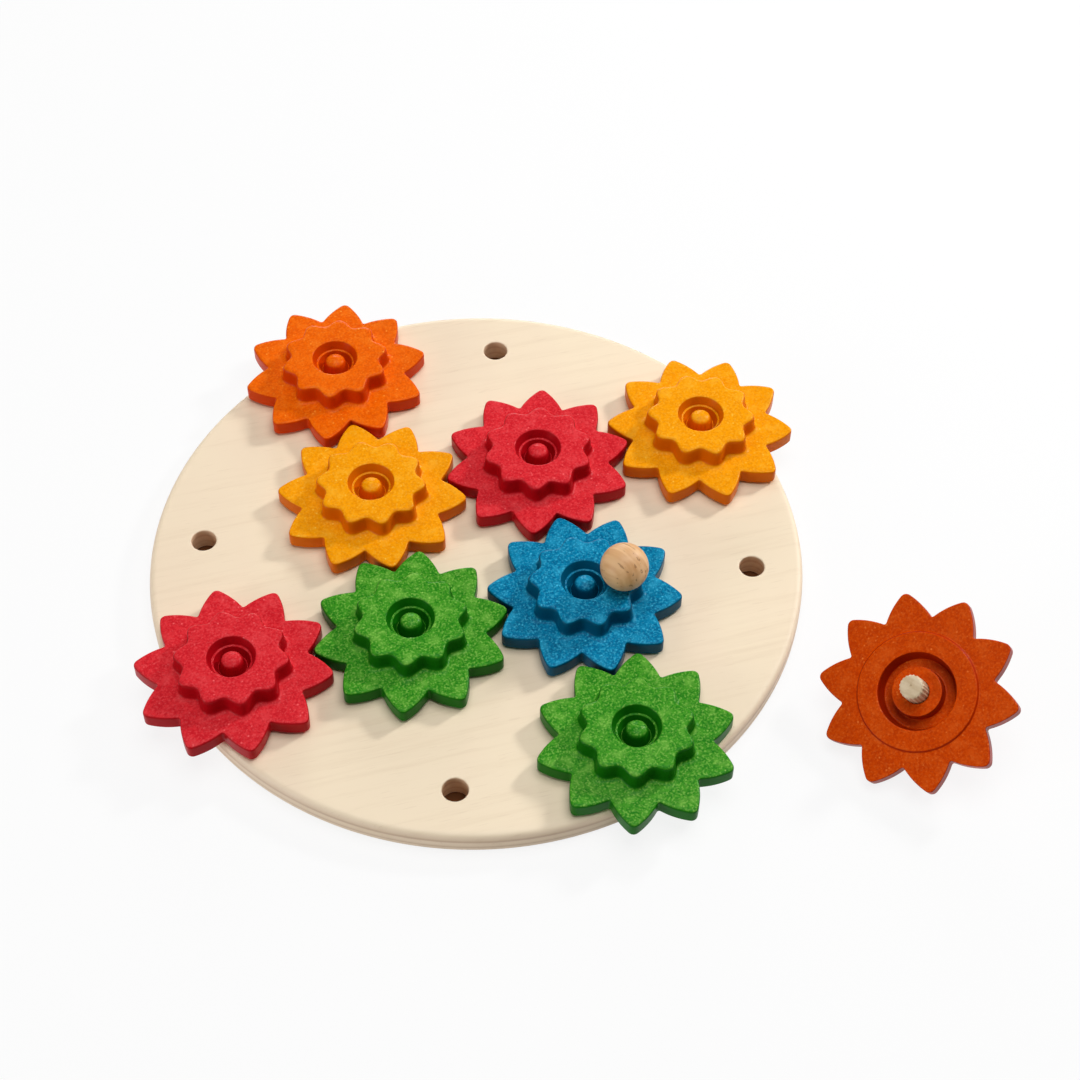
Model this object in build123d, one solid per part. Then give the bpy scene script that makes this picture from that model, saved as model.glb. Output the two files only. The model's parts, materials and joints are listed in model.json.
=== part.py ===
"""Gear board toy: a round plywood board with pegged flower gears that mesh and turn together.

Millimetres, +Z up. The origin is the centre of the board's underside, which stands on the table.
Every gear is the same moulding. Its own frame has the peg's axis on Z, the face that bears on
the board at Z = 0 and a petal's tip on +X.
"""

import os
from math import atan2, cos, degrees, hypot, pi, radians, sin, sqrt, tan

from build123d import *

# ---- Board -----------------------------------------------------------------------------------
hole_pitch = 80.0           # between neighbouring holes, and so between meshed gears
hole_diameter = 11.5
rim_margin = 23.5           # from the outermost holes' centres to the board's rim
board_thickness = 12.0
board_edge = 2.2            # bevel along both rims

# ---- Gear: the ten petals that act as teeth ----------------------------------------------------
petals = 10
petal_reach = 4.0           # how far tips pass the middle between two meshed gears
notch_clearance = 3.0       # from a tip to the notch that it enters
petal_tip_round = 2.8       # radius of a petal's rounded tip
petal_flank_radius = 34.0   # the flanks bulge a little
petal_thickness = 7.5
petal_edge = 1.0            # bevel along the petals' upper edge
tip_steps = 2               # chords round a tip
flank_steps = 2             # chords along a flank

# ---- Gear: the lobed tier on top, with one lobe over each petal --------------------------------
tier_height = 9.0
tier_setback = 6.8          # from the petals' notches in to the foot of the lobes
lobe_swell = 3.2            # how far the lobes stand out from the notches between them
tier_edge = 0.8
tier_draft = 7.0            # degrees, so that the moulding leaves its mould

# ---- Gear: the recess in the top and the domed boss in it --------------------------------------
recess_radius = 10.8
recess_throat_radius = 8.5  # the funnel's lower end, where a ledge begins
ledge_depth = 4.2
ledge_width = 1.1
recess_depth = 6.6
dome_foot_radius = 5.0
dome_radius = 3.6
dome_below_top = 0.8        # the dome stops just short of the top face

# ---- Gear: the underside -----------------------------------------------------------------------
ring_setback = 6.6          # from the petals' notches in to the ring that rubs on the board
ring_height = 1.2
boss_wall = 5.6             # round the peg
groove_width = 6.5          # moulded groove round the boss, to save material
groove_floor_width = 4.6
groove_depth = 7.0

# ---- Peg, the axle glued in the boss -----------------------------------------------------------
peg_clearance = 0.35        # all round, in the board's hole
peg_above_table = 0.7
peg_flutes = 10
flute_depth = 0.45
peg_bevel = 0.8
socket_roof = 2.1           # between the socket and the recess above it
glue_gap = 0.05
bearing_gap = 0.1           # between the ring and the board

# ---- Ball knob on the crank gear ---------------------------------------------------------------
ball_radius = 10.8
ball_bands = 11
ball_sides = 20
knob_setback = 9.0          # from the foot of a lobe in to the ball's axis
knob_petal = -1             # petals round from the first, anticlockwise
stem_radius = 3.0
stem_in_gear = 7.0
stem_in_ball = 11.0
stem_sides = 12

# ---- Worked out from the sizes above -----------------------------------------------------------
hole_radius = hole_diameter / 2
peg_radius = hole_radius - peg_clearance
gear_level = board_thickness + bearing_gap
peg_reach = gear_level - peg_above_table

half_petal = pi / petals
tip_radius = hole_pitch / 2 + petal_reach
root_radius = hole_pitch - tip_radius - notch_clearance
petal_base = ring_height
petal_top = petal_base + petal_thickness
gear_top = petal_top + tier_height
tier_lobe_radius = root_radius - tier_setback
tier_notch_radius = tier_lobe_radius - lobe_swell
knob_offset = tier_lobe_radius - knob_setback

recess_floor = gear_top - recess_depth
socket_depth = recess_floor - socket_roof
boss_radius = peg_radius + boss_wall
groove_radius = boss_radius + groove_width
groove_floor_radius = boss_radius + groove_floor_width
ring_radius = root_radius - ring_setback
# Turned forms on a gear have a whole number of flats for each petal, so ten petals stay alike.
fine_flats = 3 * petals
coarse_flats = 2 * petals

# Grid places of the gears, in pitches from the board's centre, and the turn of each one. Meshed
# neighbours stand half a petal apart, so tips face notches.
tip_ahead = 0.0
notch_ahead = degrees(half_petal)
gear_places = {
    "orange_gear": (-0.5, 1.5, tip_ahead),
    "amber_gear_left": (-0.5, 0.5, notch_ahead),
    "red_gear_back": (0.5, 0.5, tip_ahead),
    "amber_gear_right": (1.5, 0.5, notch_ahead),
    "red_gear_left": (-1.5, -0.5, notch_ahead),
    "green_gear_middle": (-0.5, -0.5, tip_ahead),
    "crank_gear": (0.5, -0.5, notch_ahead),
    "green_gear_front": (0.5, -1.5, tip_ahead),
}
free_holes = [(0.5, 1.5), (-1.5, 0.5), (1.5, -0.5), (-0.5, -1.5)]
holes = [(x, y) for x, y, _ in gear_places.values()] + free_holes
board_radius = max(hypot(x, y) for x, y in holes) * hole_pitch + rim_margin

# The ninth gear lies beside the board with its peg up, tipped over on two petals.
loose_gap = 16.0            # from the board's rim to its tips, as if it lay flat
loose_bearing = -39.8       # degrees from +X round the board
loose_tilt = 31.2           # of its peg from the vertical
loose_lean = -151.0         # the way that the peg leans
loose_spin = 9.9            # turn of the petals about the peg
table_gap = 0.1


def arc_points(centre, radius, start, end, steps):
    """Points along an arc, both ends included, with angles in radians."""
    angles = [start + (end - start) * step / steps for step in range(steps + 1)]
    return [(centre[0] + radius * cos(a), centre[1] + radius * sin(a)) for a in angles]


def turned_point(point, angle):
    x, y = point
    return (x * cos(angle) - y * sin(angle), x * sin(angle) + y * cos(angle))


def around(points, count):
    """The same points, given for the pitch centred on +X, repeated round the axis."""
    return [turned_point(p, 2 * pi * k / count) for k in range(count) for p in points]


def petal_outline():
    """One petal is a tip arc and two flank arcs that meet it smoothly and end at the notches."""
    tip_centre = (tip_radius - petal_tip_round, 0.0)
    notch = turned_point((root_radius, 0.0), half_petal)
    # The flank's centre lies a flank radius from the notch, and that less the tip's from its centre.
    across = (notch[0] - tip_centre[0], notch[1] - tip_centre[1])
    span = hypot(*across)
    near = petal_flank_radius - petal_tip_round
    along = (near**2 - petal_flank_radius**2 + span**2) / (2 * span)
    aside = sqrt(near**2 - along**2)
    flank_centre = (
        tip_centre[0] + (along * across[0] - aside * across[1]) / span,
        tip_centre[1] + (along * across[1] + aside * across[0]) / span,
    )
    meet = atan2(tip_centre[1] - flank_centre[1], tip_centre[0] - flank_centre[0])
    root = atan2(notch[1] - flank_centre[1], notch[0] - flank_centre[0])
    tip = arc_points(tip_centre, petal_tip_round, -meet, meet, tip_steps)
    flank = arc_points(flank_centre, petal_flank_radius, meet, root, flank_steps)[1:]
    # The lower notch belongs to the petal before, so this petal leaves it out.
    lower_flank = [(x, -y) for x, y in reversed(flank[:-1])]
    return around(lower_flank + tip + flank, petals)


def tier_outline():
    """A wave with a short flat on each lobe and in each notch."""
    mean = (tier_lobe_radius + tier_notch_radius) / 2
    swing = (tier_lobe_radius - tier_notch_radius) / 2
    sixth = half_petal / 6
    angles = (-sixth, sixth, 5 * sixth, 7 * sixth)
    radii = [mean + swing * cos(petals * angle) / cos(pi / 6) for angle in angles]
    return around([(r * cos(a), r * sin(a)) for r, a in zip(radii, angles)], petals)


def inward_normal(start, end):
    """Unit vector to the left of an edge, which is inwards on an anticlockwise outline."""
    along = (end[0] - start[0], end[1] - start[1])
    length = hypot(*along)
    return (-along[1] / length, along[0] / length)


def inset(outline, distance):
    """The outline drawn in by a distance, with each corner mitred so that edges stay parallel."""
    drawn_in = []
    for k, (x, y) in enumerate(outline):
        before = outline[k - 1]
        after = outline[(k + 1) % len(outline)]
        (mx, my), (nx, ny) = inward_normal(before, (x, y)), inward_normal((x, y), after)
        mitre = distance / (1 + mx * nx + my * ny)
        drawn_in.append((x + mitre * (mx + nx), y + mitre * (my + ny)))
    return drawn_in


def scaled(outline, factor):
    return [(x * factor, y * factor) for x, y in outline]


def skinned(sections):
    """Flat-faced solid through (outline, height) sections with equal corners, listed upwards."""
    rings = [[Vector(x, y, height) for x, y in outline] for outline, height in sections]
    faces = [Face(Wire.make_polygon(ring)) for ring in (rings[0][::-1], rings[-1])]
    for lower, upper in zip(rings, rings[1:]):
        for k in range(len(lower)):
            after = (k + 1) % len(lower)
            quad = [lower[k], lower[after], upper[after], upper[k]]
            faces.append(Face(Wire.make_polygon(quad)))
    return Solid(Shell(faces))


def turned(profile, sides):
    """Solid turned about Z from (radius, height) points, cut to a number of flats all round."""
    angles = [2 * pi * (k + 0.5) / sides for k in range(sides)]
    circle = [(cos(a), sin(a)) for a in angles]
    return skinned([(scaled(circle, radius), height) for radius, height in profile])


def gear():
    petal = petal_outline()
    plate = skinned(
        [
            (petal, petal_base),
            (petal, petal_top - petal_edge),
            (inset(petal, petal_edge), petal_top),
        ]
    )
    foot = tier_outline()
    drawn_in = (tier_height - tier_edge) * tan(radians(tier_draft))
    tier = skinned(
        [
            (foot, petal_top),
            (inset(foot, drawn_in), gear_top - tier_edge),
            (inset(foot, drawn_in + tier_edge), gear_top),
        ]
    )
    ring = turned([(ring_radius, 0), (ring_radius, petal_base)], fine_flats)

    ledge = gear_top - ledge_depth
    throat = recess_throat_radius - ledge_width
    recess = turned(
        [
            (throat, recess_floor),
            (throat, ledge),
            (recess_throat_radius, ledge),
            (recess_radius, gear_top),
        ],
        coarse_flats,
    )
    dome_top = gear_top - dome_below_top
    shoulder = dome_top - dome_radius / 3
    dome = turned(
        [
            (dome_foot_radius, recess_floor),
            (dome_radius, shoulder),
            (dome_radius / 2, dome_top),
        ],
        petals,
    )

    groove = turned([(groove_radius, 0), (groove_floor_radius, groove_depth)], coarse_flats)
    boss = turned([(boss_radius, 0), (boss_radius, groove_depth)], coarse_flats)
    socket_radius = (peg_radius + glue_gap) / cos(pi / coarse_flats)
    socket = turned([(socket_radius, 0), (socket_radius, socket_depth)], coarse_flats)
    return plate + tier + ring - recess + dome - (groove - boss) - socket


def peg():
    """Fluted dowel, from the socket's floor to its bevelled free end."""
    crest = (peg_radius, 0.0)
    flute = turned_point((peg_radius - flute_depth, 0.0), pi / peg_flutes)
    section = around([crest, flute], peg_flutes)
    end = scaled(section, 1 - peg_bevel / peg_radius)
    return skinned(
        [
            (end, -peg_reach),
            (section, peg_bevel - peg_reach),
            (section, socket_depth - glue_gap),
        ]
    )


def knob_stem():
    foot = gear_top - stem_in_gear + glue_gap
    head = gear_top + stem_in_ball - glue_gap
    return turned([(stem_radius, foot), (stem_radius, head)], stem_sides)


def stem_hole():
    foot = gear_top - stem_in_gear
    head = gear_top + stem_in_ball
    radius = stem_radius + glue_gap
    return turned([(radius, foot), (radius, head)], stem_sides)


def knob_ball():
    """Ball with a small flat where it sits on the gear."""
    step = pi / ball_bands
    latitudes = [-pi / 2 + step * (k + 0.5) for k in range(ball_bands)]
    drop = ball_radius * sin(latitudes[0])
    profile = [(ball_radius * cos(a), gear_top - drop + ball_radius * sin(a)) for a in latitudes]
    return turned(profile, ball_sides) - stem_hole()


def board():
    disc = Cylinder(board_radius, board_thickness, align=(Align.CENTER, Align.CENTER, Align.MIN))
    disc = chamfer(disc.edges().filter_by(GeomType.CIRCLE), board_edge)
    drill = Cylinder(hole_radius, board_thickness, align=(Align.CENTER, Align.CENTER, Align.MIN))
    for x, y in holes:
        disc -= Pos(x * hole_pitch, y * hole_pitch) * drill
    return disc


def on_board(x, y, turn):
    return Pos(x * hole_pitch, y * hole_pitch, gear_level) * Rot(Z=turn)


def beside_board():
    """Frame of the loose gear: peg up and leaning, lowest petal on the table."""
    reach = board_radius + loose_gap + tip_radius
    bearing = radians(loose_bearing)
    middle = Pos(reach * cos(bearing), reach * sin(bearing))
    # The gear is turned upside down, leaned, and its petals turned about its own axis.
    pose = Rot(Z=loose_lean) * Rot(Y=loose_tilt) * Rot(Z=loose_spin) * Rot(X=180)
    lowest = (pose * gear()).bounding_box().min.Z
    return middle * Pos(Z=table_gap - lowest) * pose


def build():
    pieces = {"board": board()}
    frames = {name: on_board(*place) for name, place in gear_places.items()}
    frames["loose_gear"] = beside_board()
    for name, frame in frames.items():
        pieces[name] = frame * gear()
        pieces[name + "_peg"] = frame * peg()

    on_crank = frames["crank_gear"] * Rot(Z=knob_petal * 360 / petals) * Pos(X=knob_offset)
    pieces["crank_gear"] -= on_crank * stem_hole()
    pieces["knob_stem"] = on_crank * knob_stem()
    pieces["knob_ball"] = on_crank * knob_ball()
    return pieces


os.makedirs("parts", exist_ok=True)
for name, piece in build().items():
    export_step(piece, f"parts/{name}.step")
    print(name, "volume", round(piece.volume), "faces", len(piece.faces()))
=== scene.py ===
# %% [markdown]
# # A gear board toy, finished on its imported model
#
# The toy is a round plywood board with twelve holes. Ten-petalled wheels, moulded from dyed wood
# dust and glue, stand in the holes on fluted pegs and turn each other like gears. One of them
# carries a wooden ball to crank it by, and a ninth wheel lies beside the board, peg up.
#
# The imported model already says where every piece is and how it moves. This lesson keeps those
# places and gives each piece its smooth form and its finish.

import json
from math import atan2, cos, hypot, pi, radians, sin, sqrt

import bpy
from mathutils import Matrix, Vector


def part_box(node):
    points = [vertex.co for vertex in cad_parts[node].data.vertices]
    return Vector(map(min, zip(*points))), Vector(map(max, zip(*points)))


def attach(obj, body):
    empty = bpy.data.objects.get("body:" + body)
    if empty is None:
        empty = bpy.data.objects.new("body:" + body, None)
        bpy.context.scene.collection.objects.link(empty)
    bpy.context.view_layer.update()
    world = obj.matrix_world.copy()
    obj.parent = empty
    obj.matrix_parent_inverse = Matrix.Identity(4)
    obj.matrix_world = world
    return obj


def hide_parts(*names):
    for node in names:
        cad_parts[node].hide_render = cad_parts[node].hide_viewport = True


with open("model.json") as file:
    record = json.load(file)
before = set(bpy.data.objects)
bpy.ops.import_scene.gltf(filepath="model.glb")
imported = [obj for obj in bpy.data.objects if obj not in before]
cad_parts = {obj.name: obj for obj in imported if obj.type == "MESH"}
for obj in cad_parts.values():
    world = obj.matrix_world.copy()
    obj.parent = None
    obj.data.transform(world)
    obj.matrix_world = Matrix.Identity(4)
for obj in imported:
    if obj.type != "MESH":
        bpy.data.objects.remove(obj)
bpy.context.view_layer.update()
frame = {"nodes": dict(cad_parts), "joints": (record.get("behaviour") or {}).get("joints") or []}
hinges = {j["child"]: Vector(j["pos_m"]) for j in frame["joints"] if j["type"] == "hinge"}

# %% [markdown]
# ## Sizes
#
# Blender works in metres, but a toy is drawn in millimetres. One factor turns them into metres,
# so that each later cell reads like a drawing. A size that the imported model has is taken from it.

# %% Sizes in millimetres
MM = 0.001
PETALS = 10
HOLE_RADIUS = 5.75
board_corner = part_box("board")[1]
BOARD_RADIUS = board_corner.x / MM
BOARD_THICKNESS = board_corner.z / MM
HOLE_PITCH = (hinges["amber_gear_right"] - hinges["red_gear_back"]).length / MM
gear_low, gear_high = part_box("crank_gear")
GEAR_LEVEL = gear_low.z / MM
GEAR_TOP = (gear_high.z - gear_low.z) / MM
print("board", round(2 * BOARD_RADIUS, 1), "mm across, holes", round(HOLE_PITCH, 1), "mm apart")

# %% [markdown]
# ## Arithmetic on node sockets
#
# A node tree for a rule such as "this far out at that angle" needs dozens of Math nodes. This
# small class wraps one output socket, and every operator used on it adds the Math node that does
# the sum. The formula then stands in the script as a formula, in shader trees and in Geometry
# Nodes alike. Any other node comes from `Term.add`: its settings first, then its sockets.


# %% The class for node sums
class Term:
    """An output socket that can be used in an expression."""

    def __init__(self, node, output=0):
        self.tree = node.id_data
        self.socket = node.outputs[output]

    @staticmethod
    def add(tree, kind, settings=None, sockets=None):
        node = tree.nodes.new(kind)
        for name, value in (settings or {}).items():
            if name == "stops":
                fill_ramp(node.color_ramp, value)
            else:
                setattr(node, name, value)
        for name, value in (sockets or {}).items():
            if isinstance(value, Term):
                tree.links.new(value.socket, node.inputs[name])
            else:
                node.inputs[name].default_value = value
        return node

    def sum(self, operation, *values):
        node = Term.add(
            self.tree, "ShaderNodeMath", {"operation": operation}, dict(enumerate(values))
        )
        return Term(node)

    def __add__(self, other):
        return self.sum("ADD", self, other)

    def __sub__(self, other):
        return self.sum("SUBTRACT", self, other)

    def __rsub__(self, other):
        return self.sum("SUBTRACT", other, self)

    def __mul__(self, other):
        return self.sum("MULTIPLY", self, other)

    def __truediv__(self, other):
        return self.sum("DIVIDE", self, other)

    def __rtruediv__(self, other):
        return self.sum("DIVIDE", other, self)

    def __lt__(self, other):
        return self.sum("LESS_THAN", self, other)

    def __gt__(self, other):
        return self.sum("GREATER_THAN", self, other)

    __radd__ = __add__
    __rmul__ = __mul__

    def root(self):
        return self.sum("SQRT", self)

    def cos(self):
        return self.sum("COSINE", self)

    def sin(self):
        return self.sum("SINE", self)

    def between(self, low, high):
        """0 at low, 1 at high and beyond, with soft ends."""
        node = Term.add(
            self.tree,
            "ShaderNodeMapRange",
            {"interpolation_type": "SMOOTHSTEP"},
            {0: self, 1: low, 2: high},
        )
        return Term(node)


def fill_ramp(ramp, stops):
    """Gives a colour ramp its (place, colour) stops."""
    while len(ramp.elements) < len(stops):
        ramp.elements.new(1.0)
    for element, (place, colour) in zip(ramp.elements, stops):
        element.position = place
        element.color = colour


def choose(mask, yes, no):
    """yes where the mask is 1, no where it is 0."""
    return mask * yes + (1 - mask) * no


# %% [markdown]
# ## One rule for every turned or petalled piece
#
# A moulded wheel, a dowel and a ball are all a profile carried round an axis. What differs is how
# the outline changes with the angle. So the profile is a row of points, and each point carries
# five numbers: its radius, its height, how much it follows the **petals**, how much it waves with
# the **lobes**, and how far it lies **inset** from the petals' edge.
#
# The tree lays a flat grid, one column for each angle and one row for each profile point, and
# bends it round by the rule. Merging doubles then closes the seam and the poles. Curve to Mesh
# could carry a plain profile round a circle, but not one whose shape changes on the way.

# %% Start the tree with its named inputs
wheel_tree = bpy.data.node_groups.new("Petalled turning", "GeometryNodeTree")
wheel_tree.is_modifier = True


def add_input(tree, name, kind, value=None):
    socket = tree.interface.new_socket(name, in_out="INPUT", socket_type=kind)
    if value is not None:
        socket.default_value = value


add_input(wheel_tree, "Profile", "NodeSocketGeometry")
add_input(wheel_tree, "Petals", "NodeSocketInt", PETALS)
add_input(wheel_tree, "Columns", "NodeSocketInt", 400)
add_input(wheel_tree, "Tip Radius", "NodeSocketFloat", 43.85 * MM)
add_input(wheel_tree, "Notch Radius", "NodeSocketFloat", 33.0 * MM)
add_input(wheel_tree, "Tip Round", "NodeSocketFloat", 2.8 * MM)
add_input(wheel_tree, "Flank Round", "NodeSocketFloat", 34.0 * MM)
add_input(wheel_tree, "Notch Fillet", "NodeSocketFloat", 1.0 * MM)
add_input(wheel_tree, "Finish", "NodeSocketMaterial")
wheel_tree.interface.new_socket("Wheel", in_out="OUTPUT", socket_type="NodeSocketGeometry")
group_in = Term.add(wheel_tree, "NodeGroupInput")
petals = Term(group_in, "Petals")
columns = Term(group_in, "Columns")
profile = Term(group_in, "Profile")
print("inputs:", [item.name for item in wheel_tree.interface.items_tree])

# %% [markdown]
# A grid of size 1 by 1 is centred on the origin, so its x runs from -0.5 to 0.5 round the wheel
# and its y counts the profile's rows. Sample Index fetches each row's numbers from the profile.

# %% Lay the grid and fetch the profile's numbers
size_of_profile = Term.add(
    wheel_tree, "GeometryNodeAttributeDomainSize", {"component": "MESH"}, {"Geometry": profile}
)
rows = Term(size_of_profile, "Point Count")
grid = Term.add(
    wheel_tree,
    "GeometryNodeMeshGrid",
    None,
    {"Size X": 1.0, "Size Y": 1.0, "Vertices X": columns + 1, "Vertices Y": rows},
)
position = Term(Term.add(wheel_tree, "GeometryNodeInputPosition"))
split = Term.add(wheel_tree, "ShaderNodeSeparateXYZ", None, {0: position})
turn = Term(split, "X") + 0.5
row = (Term(split, "Y") + 0.5) * (rows - 1)
row = row.sum("ROUND", row)


def from_profile(name):
    stored = Term.add(
        wheel_tree, "GeometryNodeInputNamedAttribute", {"data_type": "FLOAT"}, {"Name": name}
    )
    sample = Term.add(
        wheel_tree,
        "GeometryNodeSampleIndex",
        {"data_type": "FLOAT", "domain": "POINT"},
        {"Geometry": profile, "Value": Term(stored), "Index": row},
    )
    return Term(sample)


radius, height, petal, lobe, inset = map(
    from_profile, ("radius", "height", "petal", "lobe", "inset")
)

# %% [markdown]
# ### The petal's outline as three arcs
#
# A petal is a small tip arc, two slightly bulging flank arcs that meet it smoothly, and a small
# hollow fillet in each notch. Folding the angle into half a petal leaves one arc of each kind, and
# the distance from the axis to a circle along a ray is a square root. An inset outline has the
# same centres, with the two outer arcs smaller and the fillet larger, so it stays parallel.

# %% Centres of the three arcs
tip_radius, notch_radius, tip_round, flank_round, fillet = (
    Term(group_in, name)
    for name in ("Tip Radius", "Notch Radius", "Tip Round", "Flank Round", "Notch Fillet")
)
half = pi / petals
tip_x = tip_radius - tip_round
across_x = notch_radius * half.cos() - tip_x
across_y = notch_radius * half.sin()
span = (across_x * across_x + across_y * across_y).root()
near = flank_round - tip_round
along = (near * near - flank_round * flank_round + span * span) / (2 * span)
aside = (near * near - along * along).root()
flank_x = tip_x + (along * across_x - aside * across_y) / span
flank_y = (along * across_y + aside * across_x) / span
flank_far = flank_x * flank_x + flank_y * flank_y
reach = flank_x * half.cos() + flank_y * half.sin()
gap = flank_round + fillet
fillet_far = reach + (reach * reach - flank_far + gap * gap).root()

# %% Where one arc hands over to the next
to_tip = tip_round - inset
meet_x = tip_x + to_tip * (tip_x - flank_x) / near
meet_y = 0 - to_tip * flank_y / near
meet = meet_y.sum("ARCTAN2", meet_y, meet_x)
to_fillet = (flank_round - inset) / gap
leave_x = flank_x + (fillet_far * half.cos() - flank_x) * to_fillet
leave_y = flank_y + (fillet_far * half.sin() - flank_y) * to_fillet
leave = leave_y.sum("ARCTAN2", leave_y, leave_x)

# %% Distance of the outline from the axis at every angle
turns = turn * petals
folded = turns - turns.sum("ROUND", turns)
angle = folded.sum("ABSOLUTE", folded) * half * 2
off_tip = tip_x * angle.sin()
on_tip = tip_x * angle.cos() + (to_tip * to_tip - off_tip * off_tip).root()
flank_along = flank_x * angle.cos() + flank_y * angle.sin()
flank_reach = flank_round - inset
on_flank = flank_along + (flank_reach * flank_reach - flank_far + flank_along * flank_along).root()
from_notch = half - angle
hollow = fillet + inset
off_fillet = fillet_far * from_notch.sin()
on_fillet = fillet_far * from_notch.cos() - (hollow * hollow - off_fillet * off_fillet).root()
outline = choose(angle < meet, on_tip, choose(angle < leave, on_flank, on_fillet))

# %% [markdown]
# The last step blends the petals' outline with a round or waving one, places the point, closes
# the seam, and ends with a real, smooth-shaded mesh that has its finish.

# %% Place the points and close the form
circle = turn * (2 * pi)
waving = radius + lobe * (circle * petals).cos()
distance = choose(petal, outline, waving)
place = Term.add(
    wheel_tree,
    "ShaderNodeCombineXYZ",
    None,
    {"X": distance * circle.cos(), "Y": distance * circle.sin(), "Z": height},
)
step = Term.add(
    wheel_tree, "GeometryNodeSetPosition", None, {"Geometry": Term(grid), "Position": Term(place)}
)
step = Term.add(
    wheel_tree, "GeometryNodeMergeByDistance", None, {"Geometry": Term(step), "Distance": 1e-6}
)
step = Term.add(wheel_tree, "GeometryNodeSetShadeSmooth", None, {"Geometry": Term(step)})
step = Term.add(wheel_tree, "GeometryNodeRealizeInstances", None, {"Geometry": Term(step)})
step = Term.add(
    wheel_tree,
    "GeometryNodeSetMaterial",
    None,
    {"Geometry": Term(step), "Material": Term(group_in, "Finish")},
)
Term.add(wheel_tree, "NodeGroupOutput", None, {"Wheel": Term(step)})
print(len(wheel_tree.nodes), "nodes in", wheel_tree.name)

# %% [markdown]
# ## Profiles with softened corners
#
# A mould has no razor edges, so every corner of a profile is bent by a small amount. A bend is a
# short curve from one leg to the other, and one more point further along each leg keeps the
# smooth shading of the bend from spreading over the flat beside it.

# %% Bend the corners of a profile
MID_FLANK = 38.0  # radius half way out along a petal's side
SUPPORT = 1.3  # where the further point lies, in bends from the corner
LEAST_LEG = 2.2  # how long a leg is, in bends, before it gets one


def point(radius, height, petal=0.0, lobe=0.0, inset=0.0):
    """One profile point, in millimetres."""
    return Vector((radius, height, petal, lobe, inset))


def corner(radius, height, bend=0.0, **follows):
    """A profile point, and the length that its bend takes from each leg."""
    return point(radius, height, **follows), bend


def drawn_radius(spot):
    """Where the profile would be drawn on paper. A petal's points go half way out along it."""
    radius, _, petal, _, inset = spot
    return (1 - petal) * radius + petal * (MID_FLANK - inset)


def leg(start, end):
    """Step along a leg for each millimetre of it, and the leg's length."""
    length = hypot(drawn_radius(end) - drawn_radius(start), end[1] - start[1])
    return (end - start) / length, length


def softened(corners, steps=4):
    """The profile's points, with each bend as a curve of this many steps."""
    points = []
    for k, (here, bend) in enumerate(corners):
        if not bend:
            points.append(here)
            continue
        back, back_length = leg(here, corners[k - 1][0])
        ahead, ahead_length = leg(here, corners[k + 1][0])
        if back_length > LEAST_LEG * bend:
            points.append(here + back * SUPPORT * bend)
        for s in range(steps + 1):
            t = s / steps
            points.append(here + back * bend * (1 - t) ** 2 + ahead * bend * t**2)
        if ahead_length > LEAST_LEG * bend:
            points.append(here + ahead * SUPPORT * bend)
    return points


def profile_mesh(name, points):
    """A mesh of loose points that carries the profile's numbers as attributes, in metres."""
    mesh = bpy.data.meshes.new(name)
    mesh.from_pydata([(p[0] * MM, 0, p[1] * MM) for p in points], [], [])
    scales = {"radius": MM, "height": MM, "petal": 1.0, "lobe": MM, "inset": MM}
    for column, (key, scale) in enumerate(scales.items()):
        stored = mesh.attributes.new(key, "FLOAT", "POINT")
        stored.data.foreach_set("value", [p[column] * scale for p in points])
    return mesh


# %% [markdown]
# A piece starts as its profile with the tree on it. The tree's inputs are set by their sockets'
# identifiers before Blender first works the object out. `new_from_object` then gives a plain
# mesh, the modifier goes, and the mesh itself is moved into place, so that the object stays at
# the origin.


# %% Turn a profile into a placed piece
def set_inputs(modifier, values):
    for item in modifier.node_group.interface.items_tree:
        if item.item_type == "SOCKET" and item.in_out == "INPUT" and item.name in values:
            modifier[item.identifier] = values[item.name]


def plain_mesh(maker):
    """The object's worked-out mesh. Its modifiers are removed."""
    worked_out = maker.evaluated_get(bpy.context.evaluated_depsgraph_get())
    mesh = bpy.data.meshes.new_from_object(worked_out)
    maker.modifiers.clear()
    return mesh


def turned_piece(name, points, place, **inputs):
    maker = bpy.data.objects.new(name, profile_mesh(name + "_profile", points))
    bpy.context.scene.collection.objects.link(maker)
    modifier = maker.modifiers.new("Petalled turning", "NODES")
    modifier.node_group = wheel_tree
    set_inputs(modifier, inputs)
    maker.data = plain_mesh(maker)
    maker.data.name = name
    maker.data.transform(place)
    return maker


def settle(piece, body, slot, *nodes):
    """The piece moves with its body and stands for these CAD nodes."""
    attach(piece, body)
    if nodes:
        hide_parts(*nodes)
    print(piece.name, len(piece.data.polygons), "faces")


# %% [markdown]
# ## Finishes
#
# Colours are written as they look on a screen, and turned into the linear values that a shader
# works with. Every finish reads Object coordinates, which stay with the piece when it turns.


# %% Helpers for finishes
def colour(*channels):
    """Screen colour, 0 to 255, as linear values."""
    screen = [channel / 255 for channel in channels]
    linear = [((c + 0.055) / 1.055) ** 2.4 if c > 0.04045 else c / 12.92 for c in screen]
    return (*linear, 1.0)


def new_finish(name):
    """An empty material with its shader, and the piece's own coordinates."""
    finish = bpy.data.materials.new(name)
    finish.use_nodes = True
    tree = finish.node_tree
    tree.nodes.clear()
    shader = Term.add(tree, "ShaderNodeBsdfPrincipled")
    Term.add(tree, "ShaderNodeOutputMaterial", None, {"Surface": Term(shader)})
    here = Term(Term.add(tree, "ShaderNodeTexCoord"), "Object")
    return finish, tree, shader, here


def stretched(tree, here, rate, turn=(0, 0, 0), centre=(0, 0, 0)):
    """Coordinates from a centre along turned axes, which run this many times as fast."""
    sockets = {"Vector": here, "Location": centre, "Rotation": turn, "Scale": [1 / r for r in rate]}
    return Term(Term.add(tree, "ShaderNodeMapping", {"vector_type": "TEXTURE"}, sockets))


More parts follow.
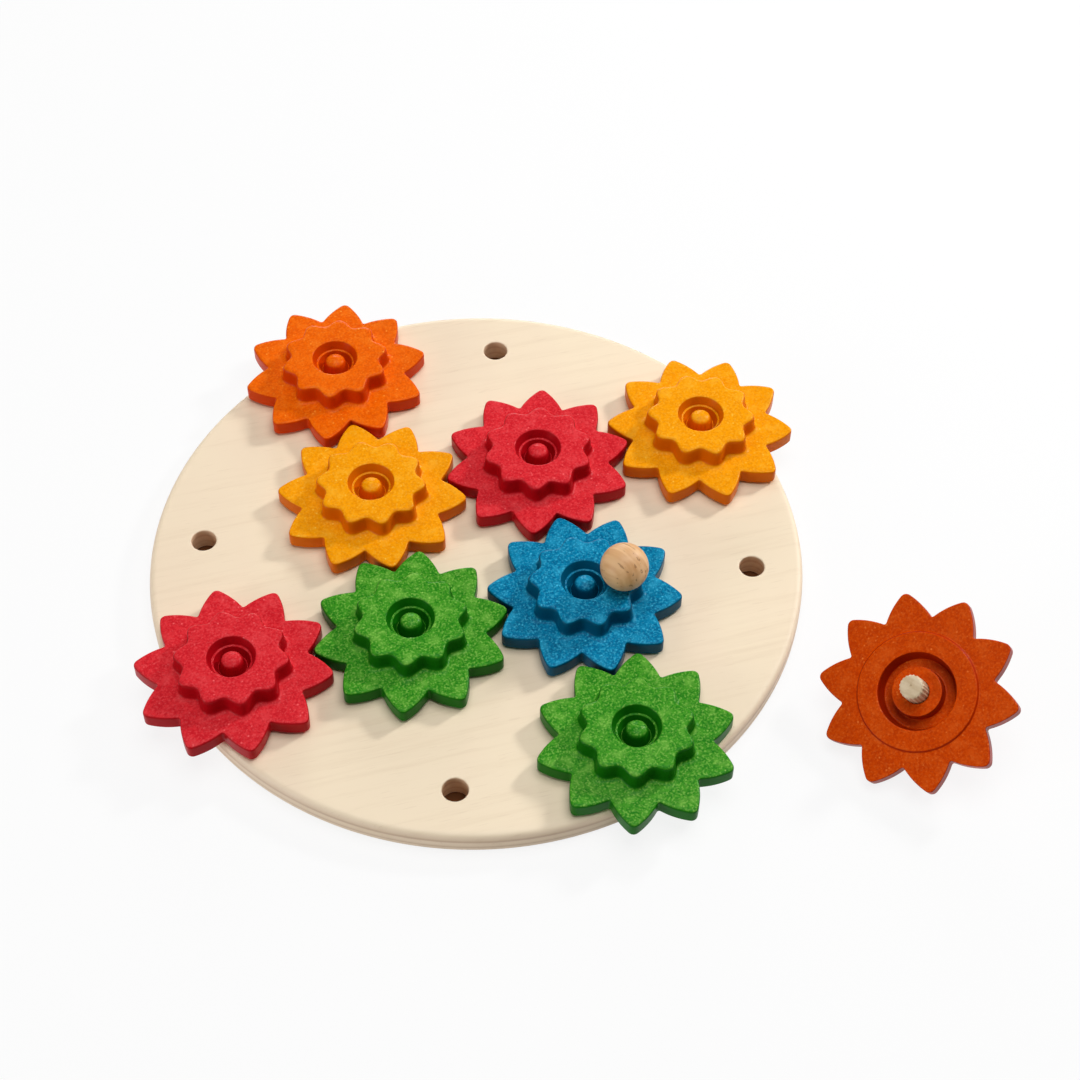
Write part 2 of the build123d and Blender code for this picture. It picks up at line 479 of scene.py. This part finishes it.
def noise(tree, here, scale, detail=2.0, roughness=0.5):
    sockets = {"Vector": here, "Scale": scale, "Detail": detail, "Roughness": roughness}
    return Term(Term.add(tree, "ShaderNodeTexNoise", None, sockets), "Fac")


def mixed(tree, factor, first, second):
    """The first colour where the factor is 0, the second where it is 1."""
    sockets = {0: factor, 6: first, 7: second}
    return Term(Term.add(tree, "ShaderNodeMix", {"data_type": "RGBA"}, sockets), 2)


def bumped(tree, height, distance):
    sockets = {"Height": height, "Distance": distance}
    return Term(Term.add(tree, "ShaderNodeBump", None, sockets))


def plug(tree, shader, **sockets):
    """Fills the shader's sockets, which are named here with underscores for spaces."""
    for name, value in sockets.items():
        name = name.replace("_", " ")
        if isinstance(value, Term):
            tree.links.new(value.socket, shader.inputs[name])
        else:
            shader.inputs[name].default_value = value


# %% [markdown]
# ### Dyed wood composite
#
# The wheels are pressed from fine wood dust, dye and a little glue. Close up the surface is a
# cloud of tone with paler and darker specks well under a millimetre. Voronoi cells make the
# brightest ones: each cell has its own random value, and only the cells with a high one show.
# The walls get a darker, plain colour: painted shade, for the shade that falls on them. A face's
# direction against the wheel's axis tells a flat face from a wall.

# %% The composite's tones
# Each has its body, pale specks, dark specks and the walls' painted shade, then how strongly the
# pale specks show, and the share of cells that are bright.
TONES = {
    "orange": ((244, 105, 0), (255, 165, 60), (230, 88, 0), (204, 58, 0), 0.2, 0.06),
    "amber": ((252, 162, 0), (255, 210, 80), (240, 146, 0), (214, 98, 0), 0.25, 0.06),
    "red": ((224, 46, 54), (250, 112, 114), (206, 28, 40), (168, 4, 16), 0.2, 0.06),
    "green": ((66, 150, 34), (158, 214, 96), (34, 124, 20), (14, 98, 6), 0.45, 0.04),
    "blue": ((0, 127, 170), (76, 204, 240), (0, 98, 140), (0, 78, 108), 0.4, 0.07),
    "rust": ((214, 74, 0), (240, 130, 55), (198, 60, 0), (160, 30, 0), 0.2, 0.06),
}
print(len(TONES), "tones of composite")

# %% Make a composite finish
CLOUDS, GRIT, CELLS, DUST = 150.0, 800.0, 850.0, 1000.0  # patterns to the metre
# A face that looks along the axis less than the first is a wall with the full painted shade; more
# than the second, it has none.
FULL_WALL_SHADE, NO_WALL_SHADE = 0.45, 0.9  # how nearly a face looks along the axis


def composite(tone, axis=(0, 0, 1)):
    """The finish in one tone, for a wheel whose own axis points this way."""
    *colours, mottle, flecks = TONES[tone]
    body, pale, dark, wall_shade = (colour(*channels) for channels in colours)
    finish, tree, shader, here = new_finish(tone + " composite")
    cloud = noise(tree, here, CLOUDS, 3.0)
    grit = noise(tree, here, GRIT, 2.0, 0.6)
    dust = noise(tree, here, DUST, 1.0)
    base = mixed(tree, (grit * 0.7 + cloud * 0.3).between(0.36, 0.6), dark, body)
    base = mixed(tree, dust.between(0.46, 0.75) * mottle, base, pale)
    base = mixed(tree, cloud.between(0.5, 0.75) * mottle * 0.6, base, pale)
    cells = Term.add(
        tree, "ShaderNodeTexVoronoi", {"feature": "F1"}, {"Vector": here, "Scale": CELLS}
    )
    own = Term.add(tree, "ShaderNodeSeparateColor", None, {0: Term(cells, "Color")})
    fleck = (Term(own, "Red") > 1 - flecks) * Term(own, "Green")
    fleck = fleck * (1 - Term(cells, "Distance").between(0.0, 0.6))
    base = mixed(tree, fleck, base, pale)
    # Painted shade: the walls, the faces that stand steep to the wheel's axis, get a darker plain
    # copy of the body, mottled towards the dark tone.
    facing = Term(Term.add(tree, "ShaderNodeTexCoord"), "Normal")
    along = Term.add(
        tree, "ShaderNodeVectorMath", {"operation": "DOT_PRODUCT"}, {0: facing, 1: axis}
    )
    along = Term(along, "Value")
    outside_wall_shade = along.sum("ABSOLUTE", along).between(FULL_WALL_SHADE, NO_WALL_SHADE)
    base = mixed(tree, outside_wall_shade, mixed(tree, cloud * 0.3, wall_shade, dark), base)
    plug(
        tree,
        shader,
        Base_Color=base,
        Roughness=0.27 + grit * 0.08,
        Specular_IOR_Level=0.07,
        Normal=bumped(tree, grit + cloud, 0.00004),
    )
    return finish


# The rust wheel lies tilted, so its finish waits for its axis.
composites = {tone: composite(tone) for tone in TONES if tone != "rust"}
print(len(composites), "composite finishes")

# %% [markdown]
# ### Bare wood for the dowels, the stem and the ball
#
# Noise that is squeezed across the fibres and stretched along them gives three things: fine
# streaks, the broader bands of the year rings, and the short dark pores of beech. A turned form
# cuts through them, so they show as lines on its sides and as dots on its end grain.

# %% Make a turned wood finish
STREAKS, RINGS, PORES = (500, 500, 30), (420, 90, 16), (750, 450, 50)  # to the metre on each axis
DOWEL_TONES = ((232, 212, 180), (206, 180, 142), (160, 126, 92))  # pale, deep, pores
BALL_TONES = ((236, 192, 142), (212, 158, 104), (140, 88, 46))


def turned_wood(name, tones, along, centre):
    """Wood of three tones, whose fibres run along the turned Z axis through the centre."""
    pale, deep, pore = (colour(*tone) for tone in tones)
    finish, tree, shader, here = new_finish(name)
    streak, ring, speck = (
        noise(tree, stretched(tree, here, rate, along, centre), 1.0, detail)
        for rate, detail in ((STREAKS, 3.0), (RINGS, 1.0), (PORES, 1.0))
    )
    mark = speck.between(0.64, 0.70)
    base = mixed(tree, (streak * 0.3 + ring * 0.7).between(0.3, 0.7), pale, deep)
    base = mixed(tree, mark * 0.6, base, pore)
    plug(
        tree,
        shader,
        Base_Color=base,
        Roughness=0.46 + mark * 0.2,
        Normal=bumped(tree, streak - mark, 0.00004),
    )
    return finish


# %% [markdown]
# ### Birch plywood
#
# The board's faces are pale veneer with the grain running from left to right, and its edge shows
# the plies: the core layers lie crosswise, so some show darker end grain. A ramp over the height
# gives the plies on the rim, on its rounding and inside the holes alike, just as a cut through
# real plywood does. The walls of the holes are mixed a little towards brown.

# %% The plies, from the underside up
FACE, BIRCH = colour(248, 229, 199), colour(240, 218, 190)
SHADE, LINE = colour(230, 206, 176), colour(212, 182, 152)
PLIES = [
    (0.0, FACE),
    (0.08, BIRCH),
    (0.13, SHADE),
    (0.30, BIRCH),
    (0.35, LINE),
    (0.41, SHADE),
    (0.50, BIRCH),
    (0.62, BIRCH),
    (0.68, LINE),
    (0.73, LINE),
    (0.78, SHADE),
    (0.88, BIRCH),
    (0.965, FACE),
]
plywood, tree, shader, here = new_finish("birch plywood")
parts = Term.add(tree, "ShaderNodeSeparateXYZ", None, {0: here})
level = Term(parts, "Z") / (BOARD_THICKNESS * MM)
wobble = noise(tree, stretched(tree, here, (60, 60, 200)), 1.0) - 0.5
plies = Term.add(tree, "ShaderNodeValToRGB", {"stops": PLIES}, {0: level + wobble * 0.025})
print(len(PLIES), "stops in the plies' ramp")

# %% The bores: distance from the nearest hole's axis, in millimetres
BORE_TONE, BORE_STRENGTH = colour(222, 162, 110), 0.35
across = [Term(parts, side) / (HOLE_PITCH * MM) + 0.5 for side in ("X", "Y")]
across = [(k - k.sum("ROUND", k)) * HOLE_PITCH for k in across]
from_hole = (across[0] * across[0] + across[1] * across[1]).root()
bore = 1 - from_hole.between(HOLE_RADIUS + 0.02, HOLE_RADIUS + 0.2)
base = mixed(tree, bore * BORE_STRENGTH, Term(plies), BORE_TONE)
print("holes every", round(HOLE_PITCH, 1), "mm have brown walls")

# %% The veneer's grain, its broad figure and its fine flecks
GRAIN, FIGURE, FLECKS = (14, 260, 200), (18, 7, 20), (90, 1500, 600)  # to the metre on each axis
GRAIN_TONE, FIGURE_TONE = colour(214, 186, 150), colour(240, 214, 190)
FLECK_TONE = colour(190, 156, 120)
grain = noise(tree, stretched(tree, here, GRAIN), 1.0, 4.0, 0.6)
figure = noise(tree, stretched(tree, here, FIGURE), 1.0, 2.0)
flecks = noise(tree, stretched(tree, here, FLECKS), 1.0, 1.0)
base = mixed(tree, grain.between(0.45, 0.8) * 0.22, base, GRAIN_TONE)
base = mixed(tree, figure.between(0.45, 0.75) * 0.3, base, FIGURE_TONE)
base = mixed(tree, flecks.between(0.66, 0.74) * 0.12, base, FLECK_TONE)
plug(
    tree,
    shader,
    Base_Color=base,
    Roughness=0.42 + grain * 0.15,
    Normal=bumped(tree, grain + flecks * 0.3, 0.00003),
)
print("plywood finish with", len(tree.nodes), "nodes")

# %% [markdown]
# ## The wheels
#
# One profile serves all nine wheels, because they come from one mould. It starts at the axis in
# the peg's socket, runs out under the boss, through the deep groove and over the bearing ring to
# the petals, climbs their edge, crosses to the lobed tier, and ends on the small dome in the
# recess.

# %% The wheel's profile
SOCKET_RADIUS, SOCKET_DEPTH = 5.45, 9.0
BOSS_RADIUS = 11.0
GROOVE_RADIUS, GROOVE_DEPTH = 15.6, 7.0
RING_INNER, RING_OUTER, RING_HEIGHT = 17.2, 25.9, 1.2
PETAL_TOP = 8.7
UNDER_BAND, TOP_BAND = 1.6, 2.2  # flat bands that run along the petals' edge
FOOT_RADIUS, FOOT_LOBE = 24.0, 2.1
TIER_RADIUS, TIER_LOBE = 23.4, 1.9
RECESS_RADIUS = 10.9
LEDGE_RADIUS, LEDGE_WIDTH, LEDGE_HEIGHT = 8.9, 0.7, 13.6
PIT_RADIUS, PIT_HEIGHT = 6.3, 9.6
DOME_RADIUS, DOME_EDGE, DOME_TOP = 4.5, 15.7, 16.9
socket_and_boss = [
    corner(0, SOCKET_DEPTH),
    corner(SOCKET_RADIUS, SOCKET_DEPTH),
    corner(SOCKET_RADIUS, 0, 0.35),
    corner(BOSS_RADIUS, 0, 0.6),
]
groove_and_ring = [
    corner(BOSS_RADIUS, GROOVE_DEPTH, 0.8),
    corner(GROOVE_RADIUS, GROOVE_DEPTH, 0.8),
    corner(RING_INNER, 0, 0.5),
    corner(RING_OUTER, 0, 0.3),
    corner(RING_OUTER + 0.8, RING_HEIGHT, 0.3),
]
petals_and_tier = [
    corner(RING_OUTER + 1.0, RING_HEIGHT, petal=1, inset=UNDER_BAND),
    corner(RING_OUTER + 1.0, RING_HEIGHT, 0.6, petal=1),
    corner(FOOT_RADIUS, PETAL_TOP, 1.2, petal=1, lobe=FOOT_LOBE),
    corner(FOOT_RADIUS, PETAL_TOP, petal=1, lobe=FOOT_LOBE, inset=TOP_BAND),
    corner(FOOT_RADIUS, PETAL_TOP, 2.2, lobe=FOOT_LOBE),
    corner(TIER_RADIUS, GEAR_TOP, 1.9, lobe=TIER_LOBE),
]
recess_and_dome = [
    corner(RECESS_RADIUS, GEAR_TOP, 0.6),
    corner(LEDGE_RADIUS, LEDGE_HEIGHT, 0.3),
    corner(LEDGE_RADIUS - LEDGE_WIDTH, LEDGE_HEIGHT - 0.1, 0.3),
    corner(PIT_RADIUS, PIT_HEIGHT, 0.4),
    corner(DOME_RADIUS, DOME_EDGE, 1.6),
    corner(1.0, DOME_TOP, 0.4),
    corner(0, DOME_TOP),
]
WHEEL = softened(socket_and_boss + groove_and_ring + petals_and_tier + recess_and_dome)
print(len(WHEEL), "rows in the wheel's profile")

# %% [markdown]
# Meshed neighbours stand half a petal apart, so that tips face notches. Each wheel's axis is its
# joint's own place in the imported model, and its turn is one of two.

# %% The eight wheels on the board
HALF_PETAL = pi / PETALS
WHEELS = {
    "orange_gear": ("orange", 0.0),
    "amber_gear_left": ("amber", HALF_PETAL),
    "red_gear_back": ("red", 0.0),
    "amber_gear_right": ("amber", HALF_PETAL),
    "red_gear_left": ("red", HALF_PETAL),
    "green_gear_middle": ("green", 0.0),
    "crank_gear": ("blue", HALF_PETAL),
    "green_gear_front": ("green", 0.0),
}
places = {}
for body, (tone, turned) in WHEELS.items():
    axis = hinges[body]
    lift = Matrix.Translation((axis.x, axis.y, GEAR_LEVEL * MM))
    places[body] = lift @ Matrix.Rotation(turned, 4, "Z")
    piece = turned_piece(body + "_moulding", WHEEL, places[body], Finish=composites[tone])
    settle(piece, body, tone + "_composite", body)

# %% [markdown]
# ## The wheel beside the board
#
# The ninth wheel is upside down and leans on its petals. Its pose is four turns one after the
# other, read from right to left: over, round its own axis, tipped, and swung to its bearing. Its
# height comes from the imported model: its lowest point is where the CAD wheel's lowest point is.

# %% The loose wheel
LOOSE_REACH, LOOSE_BEARING = BOARD_RADIUS + 60.0, radians(-39.8)
SWING, TIP, SPIN = radians(-151.0), radians(31.2), radians(9.9)
loose_turn = (
    Matrix.Rotation(SWING, 4, "Z")
    @ Matrix.Rotation(TIP, 4, "Y")
    @ Matrix.Rotation(SPIN, 4, "Z")
    @ Matrix.Rotation(pi, 4, "X")
)
rust = composite("rust", loose_turn @ Vector((0, 0, 1)))
piece = turned_piece("loose_gear_moulding", WHEEL, loose_turn, Finish=rust)
lowest = min(v.co.z for v in piece.data.vertices)
table_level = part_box("loose_gear")[0].z
over = Matrix.Translation(
    (
        LOOSE_REACH * MM * cos(LOOSE_BEARING),
        LOOSE_REACH * MM * sin(LOOSE_BEARING),
        table_level - lowest,
    )
)
piece.data.transform(over)
places["loose_gear"] = over @ loose_turn
settle(piece, "loose_gear", "rust_composite", "loose_gear")

# %% [markdown]
# ## The pegs
#
# Each wheel turns on a fluted dowel glued into its boss. The flutes are pressed in all round, and
# the free end is bevelled. The same tree makes them: the lobes' wave, twenty to the turn, is now
# the fluting, and the petals are left out.

# %% The nine dowels
PEG_RADIUS, FLUTES, FLUTE_WAVE = 5.2, 20, 0.2
PEG_HEAD = SOCKET_DEPTH - 0.1
PEG_END = 0.7 - GEAR_LEVEL  # the free end stays this far above the table
BEVEL_WIDTH, BEVEL_HEIGHT = 0.9, 1.1
DOWEL = [
    point(0, PEG_END),
    point(PEG_RADIUS - BEVEL_WIDTH, PEG_END),
    point(PEG_RADIUS - 0.58, PEG_END + 0.06),
    point(PEG_RADIUS - 0.02, PEG_END + 0.85, lobe=0.6 * FLUTE_WAVE),
    point(PEG_RADIUS, PEG_END + BEVEL_HEIGHT, lobe=FLUTE_WAVE),
    point(PEG_RADIUS, PEG_HEAD, lobe=FLUTE_WAVE),
    point(0, PEG_HEAD),
]
for body, place in places.items():
    finish = turned_wood(body + " dowel", DOWEL_TONES, place.to_euler(), place.translation)
    piece = turned_piece(
        body + "_dowel", DOWEL, place, Petals=FLUTES, Columns=FLUTES * 12, Finish=finish
    )
    settle(piece, body, "dowel_wood", body + "_peg")

# %% [markdown]
# ## The ball knob and its stem
#
# The crank's handle is a plain wooden ball with a small flat where it is glued down, and a hidden
# dowel holds it. The profile is an arc from the flat to the top. The CAD stem already has the
# right form and is hidden, so it only gets its wood.

# %% The ball
BALL_RADIUS = 10.8
BALL_ROWS, BALL_COLUMNS = 48, 96
BALL_FIBRES = Vector((0.515, -0.817, 0.26))
ball_low, ball_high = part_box("knob_ball")
ball_axis = (ball_low + ball_high) / 2
ball_centre = ball_high.z / MM - BALL_RADIUS
flat = GEAR_LEVEL + GEAR_TOP - ball_centre
first = atan2(flat, sqrt(BALL_RADIUS**2 - flat**2))
angles = [first + (pi / 2 - first) * k / BALL_ROWS for k in range(BALL_ROWS)]
arc = [point(BALL_RADIUS * cos(a), BALL_RADIUS * sin(a)) for a in angles]
BALL = [point(0, flat), *arc, point(0, BALL_RADIUS)]
ball_place = Matrix.Translation((ball_axis.x, ball_axis.y, ball_centre * MM))
ball_fibres = BALL_FIBRES.to_track_quat("Z", "Y").to_euler()
ball_finish = turned_wood("ball beech", BALL_TONES, ball_fibres, ball_place.translation)
ball = turned_piece("crank_ball", BALL, ball_place, Columns=BALL_COLUMNS, Finish=ball_finish)
settle(ball, "crank_gear", "knob_wood", "knob_ball")

# %% The stem inside it
stem = frame["nodes"]["knob_stem"]
stem.data.materials.clear()
stem.data.materials.append(ball_finish)
print("stem keeps its CAD mesh:", len(stem.data.polygons), "faces")

# %% [markdown]
# ## The board
#
# The board is a disc with a rounded rim and twelve drilled holes, four by four without the
# corners. Holes repeat, so a tree drills them: it keeps the grid points that lie near enough to
# the centre, sets a hole's lining and a hole's circle on each, fills the disc between the circles
# as a flat face, and turns a copy of that face over for the underside. A boolean would do too, but
# leaves long thin faces round every hole.

# %% Start the board's tree
board_tree = bpy.data.node_groups.new("Drilled board", "GeometryNodeTree")
board_tree.is_modifier = True
add_input(board_tree, "Rim", "NodeSocketGeometry")
add_input(board_tree, "Lining", "NodeSocketObject")
add_input(board_tree, "Thickness", "NodeSocketFloat", BOARD_THICKNESS * MM)
add_input(board_tree, "Face Radius", "NodeSocketFloat")
add_input(board_tree, "Hole Pitch", "NodeSocketFloat", HOLE_PITCH * MM)
add_input(board_tree, "Hole Mouth", "NodeSocketFloat")
add_input(board_tree, "Rim Columns", "NodeSocketInt")
add_input(board_tree, "Hole Columns", "NodeSocketInt")
add_input(board_tree, "Finish", "NodeSocketMaterial")
board_tree.interface.new_socket("Board", in_out="OUTPUT", socket_type="NodeSocketGeometry")
board_in = Term.add(board_tree, "NodeGroupInput")
pitch = Term(board_in, "Hole Pitch")

# %% The twelve hole places
CORNER_REACH = 1.9  # pitches from the centre: the corners lie beyond it, the twelve within it
grid = Term.add(
    board_tree,
    "GeometryNodeMeshGrid",
    None,
    {"Size X": pitch * 3, "Size Y": pitch * 3, "Vertices X": 4, "Vertices Y": 4},
)
position = Term(Term.add(board_tree, "GeometryNodeInputPosition"))
split = Term.add(board_tree, "ShaderNodeSeparateXYZ", None, {0: position})
x, y = Term(split, "X"), Term(split, "Y")
out = (x * x + y * y).root()
twelve = Term.add(
    board_tree,
    "GeometryNodeDeleteGeometry",
    {"domain": "POINT"},
    {"Geometry": Term(grid), "Selection": out > pitch * CORNER_REACH},
)


def at_holes(shape):
    """The shape, set on each of the twelve places."""
    placed = Term.add(
        board_tree,
        "GeometryNodeInstanceOnPoints",
        None,
        {"Points": Term(twelve), "Instance": shape},
    )
    sockets = {"Geometry": Term(placed)}
    return Term(Term.add(board_tree, "GeometryNodeRealizeInstances", None, sockets))


# %% Linings, faces and rim joined
def ring_curve(radius, count):
    sockets = {"Resolution": Term(board_in, count), "Radius": Term(board_in, radius)}
    node = Term.add(board_tree, "GeometryNodeCurvePrimitiveCircle", {"mode": "RADIUS"}, sockets)
    return Term(node)


def joined(*shapes):
    node = board_tree.nodes.new("GeometryNodeJoinGeometry")
    for shape in shapes:
        board_tree.links.new(shape.socket, node.inputs[0])
    return Term(node)


lining = Term(
    Term.add(board_tree, "GeometryNodeObjectInfo", None, {"Object": Term(board_in, "Lining")}),
    "Geometry",
)
outer_circle = ring_curve("Face Radius", "Rim Columns")
hole_circles = at_holes(ring_curve("Hole Mouth", "Hole Columns"))
flat_face = Term(
    Term.add(
        board_tree,
        "GeometryNodeFillCurve",
        {"mode": "TRIANGLES"},
        {"Curve": joined(outer_circle, hole_circles)},
    )
)
raised = Term.add(board_tree, "ShaderNodeCombineXYZ", None, {"Z": Term(board_in, "Thickness")})
top = Term(
    Term.add(
        board_tree,
        "GeometryNodeTransform",
        None,
        {"Geometry": flat_face, "Translation": Term(raised)},
    )
)
under = Term(Term.add(board_tree, "GeometryNodeFlipFaces", None, {"Mesh": flat_face}))
step = joined(Term(board_in, "Rim"), at_holes(lining), top, under)
step = Term.add(
    board_tree, "GeometryNodeMergeByDistance", None, {"Geometry": step, "Distance": 2e-6}
)
step = Term.add(board_tree, "GeometryNodeSetShadeSmooth", None, {"Geometry": Term(step)})
step = Term.add(board_tree, "GeometryNodeRealizeInstances", None, {"Geometry": Term(step)})
step = Term.add(
    board_tree,
    "GeometryNodeSetMaterial",
    None,
    {"Geometry": Term(step), "Material": Term(board_in, "Finish")},
)
Term.add(board_tree, "NodeGroupOutput", None, {"Board": Term(step)})
print(len(board_tree.nodes), "nodes in", board_tree.name)

# %% [markdown]
# The rim and a hole's lining are two more turned profiles. Each begins and ends with a narrow
# flat band, so that the large flat faces between them are shaded flat.

# %% Rim, lining and board
RIM_ROUND, HOLE_EASE, BAND_WIDTH = 3.6, 0.7, 0.5
RIM_COLUMNS, HOLE_COLUMNS = 360, 64
rim_points = softened(
    [
        corner(BOARD_RADIUS - RIM_ROUND - BAND_WIDTH, 0),
        corner(BOARD_RADIUS, 0, RIM_ROUND),
        corner(BOARD_RADIUS, BOARD_THICKNESS, RIM_ROUND),
        corner(BOARD_RADIUS - RIM_ROUND - BAND_WIDTH, BOARD_THICKNESS),
    ],
    steps=10,
)
lining_points = softened(
    [
        corner(HOLE_RADIUS + HOLE_EASE + BAND_WIDTH, BOARD_THICKNESS),
        corner(HOLE_RADIUS, BOARD_THICKNESS, HOLE_EASE),
        corner(HOLE_RADIUS, 0, HOLE_EASE),
        corner(HOLE_RADIUS + HOLE_EASE + BAND_WIDTH, 0),
    ]
)
lining_piece = turned_piece("hole_lining", lining_points, Matrix(), Columns=HOLE_COLUMNS)
rim_piece = turned_piece("board_plywood", rim_points, Matrix(), Columns=RIM_COLUMNS)
modifier = rim_piece.modifiers.new("Drilled board", "NODES")
modifier.node_group = board_tree
set_inputs(
    modifier,
    {
        "Lining": lining_piece,
        "Face Radius": rim_points[0][0] * MM,
        "Hole Mouth": lining_points[0][0] * MM,
        "Rim Columns": RIM_COLUMNS,
        "Hole Columns": HOLE_COLUMNS,
        "Finish": plywood,
    },
)
rim_piece.data = plain_mesh(rim_piece)
rim_piece.data.name = "board_plywood"
bpy.data.objects.remove(lining_piece)
settle(rim_piece, "board", "plywood", "board")

# %% [markdown]
# ## The table, the light and the camera
#
# The photograph stands on pure white. The table is plain white too, and towards the camera most
# of its look is a steady white glow, so that only the soft shadow of the toy shows on it. The
# glow is for rays from the camera, straight, mirrored or through something clear: it lights
# nothing. Under the board the table glows not at all and is brown, as the shaded floor of a
# drilled hole looks in the photograph.

# %% The table
REACH = 6.0
GLOW_SHARE = 0.85
UNDER_BOARD = BOARD_RADIUS - 5.0
WHITE_PAINT, SHADED_FLOOR = (0.9, 0.9, 0.9, 1.0), colour(98, 62, 38)
table_mesh = bpy.data.meshes.new("table")
table_corners = [(-REACH, -REACH, 0), (REACH, -REACH, 0), (REACH, REACH, 0), (-REACH, REACH, 0)]
table_mesh.from_pydata(table_corners, [], [(0, 1, 2, 3)])
table_top = bpy.data.objects.new("table", table_mesh)
bpy.context.scene.collection.objects.link(table_top)
white = bpy.data.materials.new("white table")
white.use_nodes = True
tree = white.node_tree
tree.nodes.clear()
here = Term(Term.add(tree, "ShaderNodeTexCoord"), "Object")
spot = Term.add(tree, "ShaderNodeSeparateXYZ", None, {0: here})
x, y = Term(spot, "X"), Term(spot, "Y")
open_table = (x * x + y * y).root() > UNDER_BOARD * MM
tone = mixed(tree, open_table, SHADED_FLOOR, WHITE_PAINT)
paint = Term.add(tree, "ShaderNodeBsdfDiffuse", None, {"Color": tone})
glow = Term.add(tree, "ShaderNodeEmission", None, {"Color": (1, 1, 1, 1), "Strength": 1.0})
rays = Term.add(tree, "ShaderNodeLightPath")
camera_ray, mirror_ray, clear_ray = (
    Term(rays, kind) for kind in ("Is Camera Ray", "Is Glossy Ray", "Is Transmission Ray")
)
seen = camera_ray + mirror_ray + clear_ray
cover = Term.add(
    tree,
    "ShaderNodeMixShader",
    None,
    {0: seen * open_table * GLOW_SHARE, 1: Term(paint), 2: Term(glow)},
)
Term.add(tree, "ShaderNodeOutputMaterial", None, {"Surface": Term(cover)})
table_mesh.materials.append(white)
print("table laid")

# %% [markdown]
# The light is that of a white studio. One large soft lamp hangs overhead and lights the flat
# faces. A small one on the right leaves bright lines on the right-hand edges and short shadows
# on the left. Two low ones, on the left and behind, keep the walls there from going black, and
# the room itself adds only a weak glow. The overhead lamp keeps clear of the place whose mirror
# image the camera would see in the flat faces, or it would lay a grey veil over them.

# %% The room's glow
ROOM_GLOW, BACKDROP_GLOW = 0.07, 1.0
world = bpy.data.worlds.new("white room")
bpy.context.scene.world = world
world.use_nodes = True
tree = world.node_tree
tree.nodes.clear()
room, backdrop = (
    Term.add(tree, "ShaderNodeBackground", None, {"Color": (1, 1, 1, 1), "Strength": strength})
    for strength in (ROOM_GLOW, BACKDROP_GLOW)
)
rays = Term.add(tree, "ShaderNodeLightPath")
sockets = {0: Term(rays, "Is Camera Ray"), 1: Term(room), 2: Term(backdrop)}
sky = Term.add(tree, "ShaderNodeMixShader", None, sockets)
Term.add(tree, "ShaderNodeOutputWorld", None, {"Surface": Term(sky)})
print("room's glow", ROOM_GLOW)

# %% The lamps: place in metres, width in metres, watts
LAMPS = {
    "lamp_overhead": (Vector((0.2, 0.0, 1.9)), 1.7, 23.8),
    "lamp_right": (Vector((1.3, 0.45, 0.85)), 0.22, 11.5),
    "lamp_left": (Vector((-1.9, -0.4, 0.5)), 1.0, 13.0),
    "lamp_back": (Vector((0.4, 1.8, 0.5)), 0.8, 9.0),
}
for name, (place, width, watts) in LAMPS.items():
    lamp = bpy.data.lights.new(name, "AREA")
    lamp.shape = "DISK"
    lamp.size = width
    lamp.energy = watts
    holder = bpy.data.objects.new(name, lamp)
    bpy.context.scene.collection.objects.link(holder)
    holder.location = place
    holder.rotation_euler = (-place).to_track_quat("-Z", "Y").to_euler()
print(len(LAMPS), "lamps, all turned to the board's centre")

# %% [markdown]
# The camera's place was worked out from the photograph: the twelve holes lie on a square grid,
# and only one viewpoint puts them all where the picture shows them. A camera looks along its own
# negative Z, so its axes point to the right, up and back.

# %% The camera
CAMERA_PLACE = Vector((-0.1368, -0.5941, 0.8122))
BACK, RIGHT = Vector((-0.1652, -0.5878, 0.7919)), Vector((0.9646, -0.2635, 0.0057))
camera = bpy.data.cameras.new("photo camera")
camera.lens, camera.sensor_width = 72.78, 36.0
camera.clip_start, camera.clip_end = 0.01, 50.0
viewer = bpy.data.objects.new("photo camera", camera)
bpy.context.scene.collection.objects.link(viewer)
back = BACK.normalized()
right = (RIGHT - back * RIGHT.dot(back)).normalized()
axes = Matrix((right, back.cross(right), back)).transposed()
viewer.matrix_world = Matrix.Translation(CAMERA_PLACE) @ axes.to_4x4()
bpy.context.scene.camera = viewer
bpy.context.scene.view_settings.view_transform = "Standard"
print("camera", [round(v, 3) for v in viewer.location])
